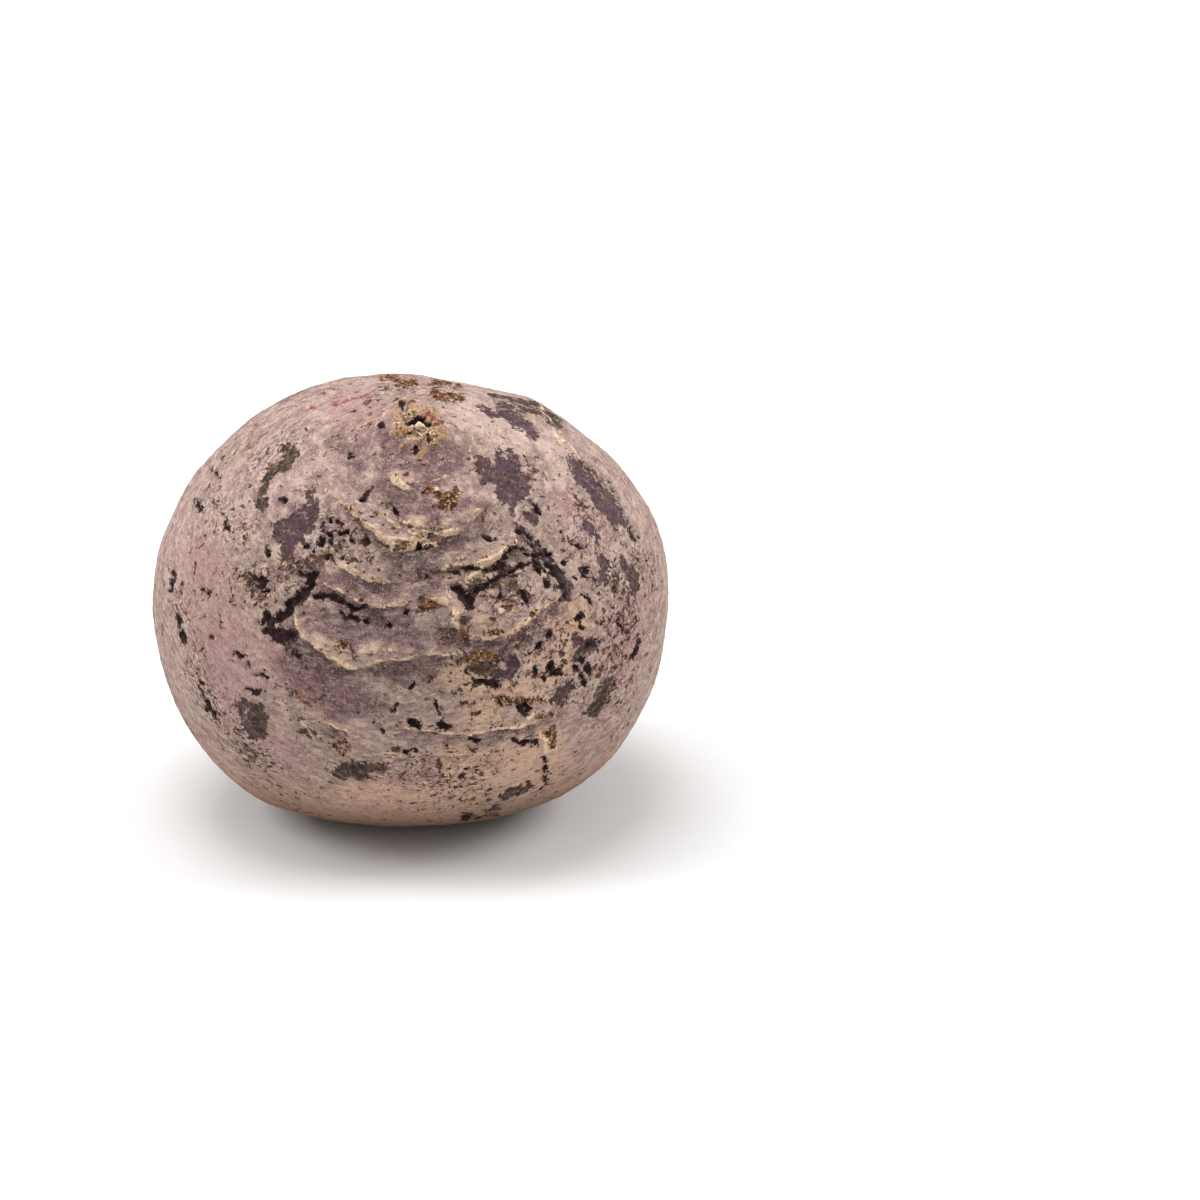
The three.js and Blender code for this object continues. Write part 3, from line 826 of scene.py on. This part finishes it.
CRACK_AND_SHADOW_BLACK = colour(24, 9, 12)
CRACK_PURPLE = colour(66, 32, 38)
CRACK_CRUMB = colour(104, 70, 48)
CORE_CREAM = colour(244, 218, 190)
CORE_TAN = colour(176, 128, 96)


def over(base, top, share):
    return put("Mix", {0: share, 6: base, 7: top}, output=2, data_type="RGBA")


def field(name):
    return put("Attribute", {}, output=2, attribute_name=name)


def inside(name, noise_socket, ragged, soft=0.6, grow=0.0):
    edge = sums("MULTIPLY_ADD", sums("SUBTRACT", noise_socket, 0.5), ragged, field(name))
    return between(sums("ADD", edge, grow), -soft, soft, 1.0, 0.0)


# Noises: some are squeezed along the stump's axis, so that they run round it as the skin grew.
along_stump = put("VectorMath", {0: place, 1: tuple(stump_axis)}, output=1, operation="DOT_PRODUCT")
stretched = put("VectorMath", {0: tuple(stump_axis), "Scale": along_stump}, operation="SCALE")
stretched = put("VectorMath", {0: stretched, 1: RINGED}, operation="MULTIPLY")
ringed = put("VectorMath", {0: place, 1: stretched}, operation="ADD")
far_ringed = put("VectorMath", {0: stretched, 1: FAR_RINGED, 2: place}, operation="MULTIPLY_ADD")

broad = grain(14, 3, 0.55)
blotch = grain(4.5, 5, 0.62, 0.4, ringed)
mottle = grain(1.9, 6, 0.72, 0.5, ringed)
second = grain(1.5, 5, 0.7, 0.8)
grit = grain(0.62, 4, 0.78)
dust = grain(0.30, 2, 0.7)
speck = grain(1.15, 4, 0.62, 0.6)
streak = grain(1.6, 5, 0.68, 0.3, far_ringed)

# Film: mottled, streaked and tinted, with painted light over a ledge and painted shade under it.
harsh = between(field("gritty"), 12, -12, 0.22, 1.0)
calm = between(field("gritty"), 12, -12, 0.75, 0.4)
film = over(FILM, FILM_BLOTCH, between(blotch, 0.42, 0.58))
film = over(film, FILM_BEIGE, between(broad, 0.46, 0.60, 0.0, 0.8))
film = over(film, FILM_FLECK, between(mottle, 0.51, 0.60, 0.0, 0.8))
film = over(film, FILM_WORN, times(between(mottle, 0.47, 0.39), sums("MULTIPLY_ADD", harsh, 0.5, 0.4)))
film = over(film, FILM_THIN, times(between(second, 0.45, 0.37), sums("MULTIPLY_ADD", harsh, 0.6, 0.1)))
film = over(film, STREAK_DARK, times(between(streak, 0.47, 0.40, 0.0, 0.6), calm))
film = over(film, STREAK_PALE, times(between(streak, 0.54, 0.62, 0.0, 0.5), calm))

pinkish = between(field("pink"), -14, 12, 0.45, 0.0)
film = over(film, DUSTY_PINK, pinkish)
# Grey mauve of thin cork, and painted shade on the cone round the stump.
mauve_and_cone_shade_share = times(between(field("mauve"), -8, 11, 0.92, 0.0), between(mottle, 0.38, 0.6, 1.0, 0.55))
film = over(film, MAUVE_AND_CONE_SHADE, mauve_and_cone_shade_share)

height = put("SeparateXYZ", {"Vector": place}, output=2)
low_down = times(between(height, 22 * MM, 5 * MM, 0.0, 0.7), between(mottle, 0.40, 0.56, 0.35, 1.0))
tan_share = times(between(field("tan"), -10, 14, 0.75, 0.0), between(mottle, 0.40, 0.56, 0.4, 1.0))
film = over(film, LOW_TAN, low_down)
film = over(film, TAN, tan_share)
film = over(film, PALE, between(field("pale"), -10, 12, 0.42, 0.0))
# Painted shade: the skin darkens towards the floor where the root sits.
film = over(film, PAINTED_SHADE_AT_FOOT, between(height, 15 * MM, 3 * MM, 0.0, 0.55))

# Painted light on the film over each ledge and painted shade under it.
above = between(field("painted_ledge_light_and_shade"), 0.15, 0.8, 0.0, 0.6)
film = over(film, PAINTED_LIGHT_OVER_LEDGE, times(above, between(mottle, 0.40, 0.55, 0.5, 1.0)))
under_ledge_shade = between(field("painted_ledge_light_and_shade"), -0.1, -0.95, 0.0, 0.95)
film = over(film, PAINTED_SHADE_UNDER_LEDGE, times(under_ledge_shade, between(mottle, 0.60, 0.45, 0.5, 1.0)))

film = over(film, GRIT_PALE, times(between(grit, 0.55, 0.63, 0.0, 0.85), harsh))
film = over(film, GRIT_DARK, times(between(grit, 0.45, 0.37, 0.0, 0.85), harsh))
film = over(film, DUST_PALE, between(dust, 0.58, 0.68, 0.0, 0.4))
film = over(film, DUST_DARK, between(dust, 0.42, 0.32, 0.0, 0.45))

stain_share = times(inside("stain", second, 24, 1.4), between(grit, 0.52, 0.64, 1.0, 0.7))
film = over(film, over(STAIN_DARK, STAIN_OLIVE, between(second, 0.44, 0.56)), stain_share)

# Lips: pale cork, its cream partly a painted highlight along each raised edge.
lip_share = times(inside("lip", grit, 7, 0.8), between(mottle, 0.36, 0.5, 0.6, 1.0))
lip_tint_and_highlight = over(LIP_CREAM_AND_HIGHLIGHT, LIP_ORANGE, between(second, 0.53, 0.62, 0.0, 0.8))
film = over(film, lip_tint_and_highlight, lip_share)

# Bare skin under the film, then crumbs and pores through both.
bare_skin = over(BARE_DARK, BARE_PURPLE, between(grain(1.8, 5, 0.7, 1.6), 0.42, 0.62))
bare_skin = over(bare_skin, BARE_BLACK, between(grit, 0.5, 0.34))
bare_skin = over(bare_skin, BARE_CRUMB, between(second, 0.56, 0.66, 0.0, 0.7))
bare_edge = sums("MULTIPLY_ADD", grit, 0.45, times(grain(1.1, 5, 0.66, 0.6), 0.55))
bare_share = inside("bare", bare_edge, 40, 0.8)
whole = over(film, bare_skin, bare_share)

crowd = between(field("gritty"), -16, 14, 0.055, 0.0)
crowd = sums("ADD", crowd, between(broad, 0.38, 0.62, -0.02, 0.03))
crumbs = between(sums("ADD", grain(1.3, 4, 0.62, 0.6), times(crowd, 0.6)), 0.645, 0.69, 0.0, 0.85)
whole = over(whole, over(CRUMB_ORANGE, CRUMB_BROWN, between(grit, 0.46, 0.56)), crumbs)
pore_share = between(sums("SUBTRACT", speck, crowd), 0.365, 0.325)
blot_share = between(sums("SUBTRACT", grain(2.7, 5, 0.62, 1.2), times(crowd, 1.1)), 0.345, 0.315)
pore_share = sums("MAXIMUM", pore_share, blot_share)
pore_tint = over(PORE_BLACK, PORE_BROWN, between(grit, 0.47, 0.58))
whole = over(whole, pore_tint, times(pore_share, 0.95))


def dots(cell_mm, size, chance, turn):
    turned = put("Mapping", {"Vector": place, "Rotation": turn, "Scale": (1, 1, 1.6)})
    shaken = put("VectorMath", {0: shake, 1: (cell_mm * MM,) * 3, 2: turned}, operation="MULTIPLY_ADD")
    cells = tree.nodes.new("ShaderNodeTexVoronoi")
    cells.inputs["Scale"].default_value = 1 / (cell_mm * MM)
    tree.links.new(shaken, cells.inputs["Vector"])
    lot = sums("MULTIPLY_ADD", crowd, 5.0, put("SeparateColor", {"Color": cells.outputs["Color"]}))
    radius = between(lot, 1 - chance, 1.45 - chance, 0.0, size)
    return between(sums("SUBTRACT", cells.outputs["Distance"], radius), -0.03, 0.03, 1.0, 0.0)


LARGE_DOTS_TURN, SMALL_DOTS_TURN = (0.3, 0.2, 0.5), (0.7, 0.1, 0.2)
shake = put("TexNoise", {"Vector": place, "Scale": 1 / (0.8 * MM), "Detail": 3.0}, output=1)
large_dots = dots(2.4, 0.30, 0.30, LARGE_DOTS_TURN)
dot_share = sums("MAXIMUM", large_dots, dots(1.4, 0.34, 0.22, SMALL_DOTS_TURN))
halo = dots(2.4, 0.40, 0.30, LARGE_DOTS_TURN)
whole = over(whole, PORE_RIM, times(halo, between(second, 0.42, 0.5, 0.3, 0.8)))
whole = over(whole, pore_tint, times(dot_share, 0.95))
pore_share = sums("MAXIMUM", pore_share, dot_share)

# Cork, the stump's collar and knobs, scratches, cracks and the core.
cork_tint = over(CORK_BROWN, CORK_BLACK, between(grain(0.9, 4, 0.7), 0.43, 0.53))
cork_tint = over(cork_tint, CORK_OCHRE, between(grain(0.5, 3, 0.65), 0.57, 0.66))
whole = over(whole, cork_tint, inside("cork", grit, 20, 1.0, grow=-1.0))

collar_edge = sums("MULTIPLY_ADD", sums("SUBTRACT", grain(1.2, 4, 0.7), 0.5), 6.0, field("stump"))
collar_share = between(collar_edge, 4.9, 4.2)
collar_tint = over(COLLAR_BEIGE, COLLAR_BROWN, between(grain(1.3, 4, 0.7), 0.46, 0.56))
collar_tint = over(collar_tint, COLLAR_CREAM, between(grain(0.7, 3, 0.7), 0.54, 0.62))
collar_tint = over(collar_tint, COLLAR_BLACK, between(grit, 0.44, 0.37))
whole = over(whole, collar_tint, collar_share)
crest = times(inside("knob", second, 12, 1.0), between(grit, 0.44, 0.52, 0.1, 0.85))
whole = over(whole, over(KNOB_BROWN, KNOB_OCHRE, between(grit, 0.46, 0.58)), crest)

whole = over(whole, FLESH_RED, times(inside("red", grit, 10), 0.8))

# Cracks, and the strokes of painted shadow under lips, in the same black.
crack_share = inside("crack", second, 20, 0.6, grow=-0.6)
crack_and_shadow_tint = over(CRACK_AND_SHADOW_BLACK, CRACK_PURPLE, between(speck, 0.48, 0.58))
crack_and_shadow_tint = over(crack_and_shadow_tint, CRACK_CRUMB, between(grit, 0.58, 0.66, 0.0, 0.7))
whole = over(whole, crack_and_shadow_tint, crack_share)
core_tint = over(CORE_CREAM, CORE_TAN, between(grit, 0.56, 0.64))
whole = over(whole, core_tint, inside("core", grit, 5))

# Fine surface: what the bump shading raises and sinks.
surface = times(grit, 0.8)
surface = sums("MULTIPLY_ADD", mottle, 1.6, surface)
surface = sums("MULTIPLY_ADD", second, 0.8, surface)
surface = sums("MULTIPLY_ADD", pore_share, -0.6, surface)
surface = sums("MULTIPLY_ADD", crumbs, 0.35, surface)
surface = sums("MULTIPLY_ADD", bare_share, -0.7, surface)
surface = sums("MULTIPLY_ADD", crack_share, -1.0, surface)
surface = sums("MULTIPLY_ADD", lip_share, 0.6, surface)
bumped = put("Bump", {"Height": surface, "Strength": 1.0, "Distance": BUMP_HEIGHT})
tree.links.new(bumped, shader.inputs["Normal"])
tree.links.new(whole, shader.inputs["Base Color"])
rough = between(bare_share, 0.0, 1.0, FILM_ROUGHNESS, BARE_ROUGHNESS)
tree.links.new(rough, shader.inputs["Roughness"])
shader.inputs["Specular IOR Level"].default_value = SKIN_GLOSS

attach(beetroot, "root")
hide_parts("beetroot")

# Leaf stalks: what is left of the twisted-off leaves, round the crown on the underside. Each is a
# short gutter-shaped stump, red at its foot and dry brown where it broke.
CROWN_BACK = math.radians(22)
CROWN_RADIUS = 14 * MM
STALK_COUNT = 70
STALK_WIDTH = 3.4 * MM
STALK_THICKNESS = 1.3 * MM
STALK_LENGTH = 1.9 * MM
STALK_FOOT = 1.2 * MM
FLOOR_GAP = 0.5 * MM
GOLDEN_TURN = math.radians(137.5)
SHORTEST, OVER_FLOOR = 0.4 * MM, 0.2 * MM
STALK_SIDES, STALK_RINGS = 20, 6
TIP_RIM, TIP_DISH = 0.3, 0.12
INNER_LENGTH, OUTER_LENGTH = 0.6, 0.5
TORN_SIZE, TORN_STEP = 1.7, 3.1
FIBRE_HEIGHT, STALK_ROUGHNESS = 0.25 * MM, 0.8
UPRIGHT, SPREAD = 1.4, (0.1, 0.25)
TAPER, TORN = 0.22, 0.22
RIBS, RIB_DEPTH = 9, 0.06
GUTTER = 0.45
STALK_RED, STALK_PINK = colour(126, 80, 80), colour(160, 122, 112)
STALK_BROWN, STALK_DRY = colour(118, 90, 72), colour(180, 148, 120)

crown_axis = Vector((0, math.sin(CROWN_BACK), -math.cos(CROWN_BACK)))
crown_right = Vector((1, 0, 0))
crown_top = crown_axis.cross(crown_right)
crown_at = on_solid(crown_axis) - middle
round_stalk = bmesh.new()
bmesh.ops.create_cone(round_stalk, cap_ends=True, segments=STALK_SIDES, radius1=1, radius2=1, depth=1)
risers = [edge for edge in round_stalk.edges if abs(edge.verts[0].co.z - edge.verts[1].co.z) > 0.5]
bmesh.ops.subdivide_edges(round_stalk, edges=risers, cuts=STALK_RINGS)
tip = [face for face in round_stalk.faces if face.calc_center_median().z > 0.49]
bmesh.ops.inset_region(round_stalk, faces=tip, thickness=TIP_RIM, depth=-TIP_DISH)
stalk_form = bpy.data.meshes.new("stalk_form")
round_stalk.to_mesh(stalk_form)
round_stalk.free()

stalks = bmesh.new()
tipward = stalks.verts.layers.float.new("broken")
for i in range(STALK_COUNT):
    out = (CROWN_RADIUS - STALK_THICKNESS) * math.sqrt((i + 0.5) / STALK_COUNT)
    spoke = crown_right * math.cos(i * GOLDEN_TURN) + crown_top * math.sin(i * GOLDEN_TURN)
    direction = (crown_at + spoke * out).normalized()
    foot = on_solid(direction)
    heading = (direction * UPRIGHT + spoke * (SPREAD[0] + SPREAD[1] * out / CROWN_RADIUS)).normalized()
    room = (foot.z - low[2] - FLOOR_GAP) / max(-heading.z, 0.01)
    length = min(STALK_LENGTH * (INNER_LENGTH + OUTER_LENGTH * out / CROWN_RADIUS), room)
    if length < SHORTEST:
        continue
    wide = heading.cross(spoke).normalized()
    thick = wide.cross(heading)
    before = len(stalks.verts)
    stalks.from_mesh(stalk_form)
    stalks.verts.ensure_lookup_table()
    for knot in stalks.verts[before:]:
        u, v, w = knot.co.x, knot.co.y, knot.co.z + 0.5
        narrow = (1 - TAPER * w) * (1 + RIB_DEPTH * math.cos(RIBS * math.atan2(v, u)))
        gutter = GUTTER * STALK_THICKNESS * (u * u - 0.5)
        tearing = noise.noise(Vector((u * TORN_SIZE, v * TORN_SIZE, i * TORN_STEP)))
        torn = TORN * length * w * tearing
        knot.co = foot + heading * (w * (length + STALK_FOOT) - STALK_FOOT + torn)
        widened = wide * u * narrow * STALK_WIDTH / 2
        knot.co += widened + thick * (v * narrow * STALK_THICKNESS / 2 - gutter)
        knot.co.z = max(knot.co.z, low[2] + OVER_FLOOR)
        knot[tipward] = w
bpy.data.meshes.remove(stalk_form)
bmesh.ops.recalc_face_normals(stalks, faces=stalks.faces)
stalk_mesh = bpy.data.meshes.new("leaf_stalks")
stalks.to_mesh(stalk_mesh)
stalks.free()
leaf_stalks = add_object("leaf_stalks", stalk_mesh)
stalk_mesh.shade_smooth()

tree, shader = add_material("leaf_stalks", stalk_mesh)
place = tree.nodes.new("ShaderNodeTexCoord").outputs["Object"]
fibre = grain(0.9, 4, 0.7, 1.0)
stalk_tint = over(STALK_RED, STALK_PINK, between(fibre, 0.42, 0.6))
dried = between(sums("MULTIPLY_ADD", sums("SUBTRACT", fibre, 0.5), 1.2, field("broken")), 0.45, 0.9)
dry_tint = over(STALK_BROWN, STALK_DRY, between(grain(0.5), 0.44, 0.6))
tree.links.new(over(stalk_tint, dry_tint, dried), shader.inputs["Base Color"])
bumped = put("Bump", {"Height": fibre, "Strength": 0.8, "Distance": FIBRE_HEIGHT})
tree.links.new(bumped, shader.inputs["Normal"])
shader.inputs["Roughness"].default_value = STALK_ROUGHNESS
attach(leaf_stalks, "root")

# Floor: a plain pale sheet, wide enough to fill the picture. It is matt, so that only the soft
# shadow under the root shows on it.
FLOOR_SIDE = 12
FLOOR_COLOUR = 0.72
FLOOR_ROUGHNESS = 0.9

sheet = bmesh.new()
bmesh.ops.create_grid(sheet, x_segments=1, y_segments=1, size=FLOOR_SIDE / 2)
floor_mesh = bpy.data.meshes.new("floor")
sheet.to_mesh(floor_mesh)
sheet.free()
floor = add_object("floor", floor_mesh)
tree, shader = add_material("floor", floor_mesh)
shader.inputs["Base Color"].default_value = (FLOOR_COLOUR, FLOOR_COLOUR, FLOOR_COLOUR, 1)
shader.inputs["Roughness"].default_value = FLOOR_ROUGHNESS

# Light: three large soft boxes, one over the root and one high at each side, far enough off to
# light the floor evenly, and a weak even sky. The side towards the camera is the darker one.
SOFT_BOXES = [
    {"name": "left", "from": (-2.4, 0.2, 1.9), "side": 1.6, "power": 60},
    {"name": "right", "from": (2.5, 0.3, 1.8), "side": 1.6, "power": 66},
    {"name": "top", "from": (-0.4, 0.2, 3.0), "side": 1.8, "power": 64},
]
SKY = 0.5

for box in SOFT_BOXES:
    light = bpy.data.lights.new(box["name"], "AREA")
    light.size = box["side"]
    light.energy = box["power"]
    lamp = add_object(box["name"], light)
    lamp.location = box["from"]
    lamp.rotation_mode = "QUATERNION"
    lamp.rotation_quaternion = (middle - lamp.location).to_track_quat("-Z", "Y")

sky = bpy.data.worlds.new("sky")
sky.use_nodes = True
sky.node_tree.nodes["Background"].inputs["Color"].default_value = (SKY, SKY, SKY, 1)
bpy.context.scene.world = sky
bpy.context.scene.view_settings.view_transform = "Standard"
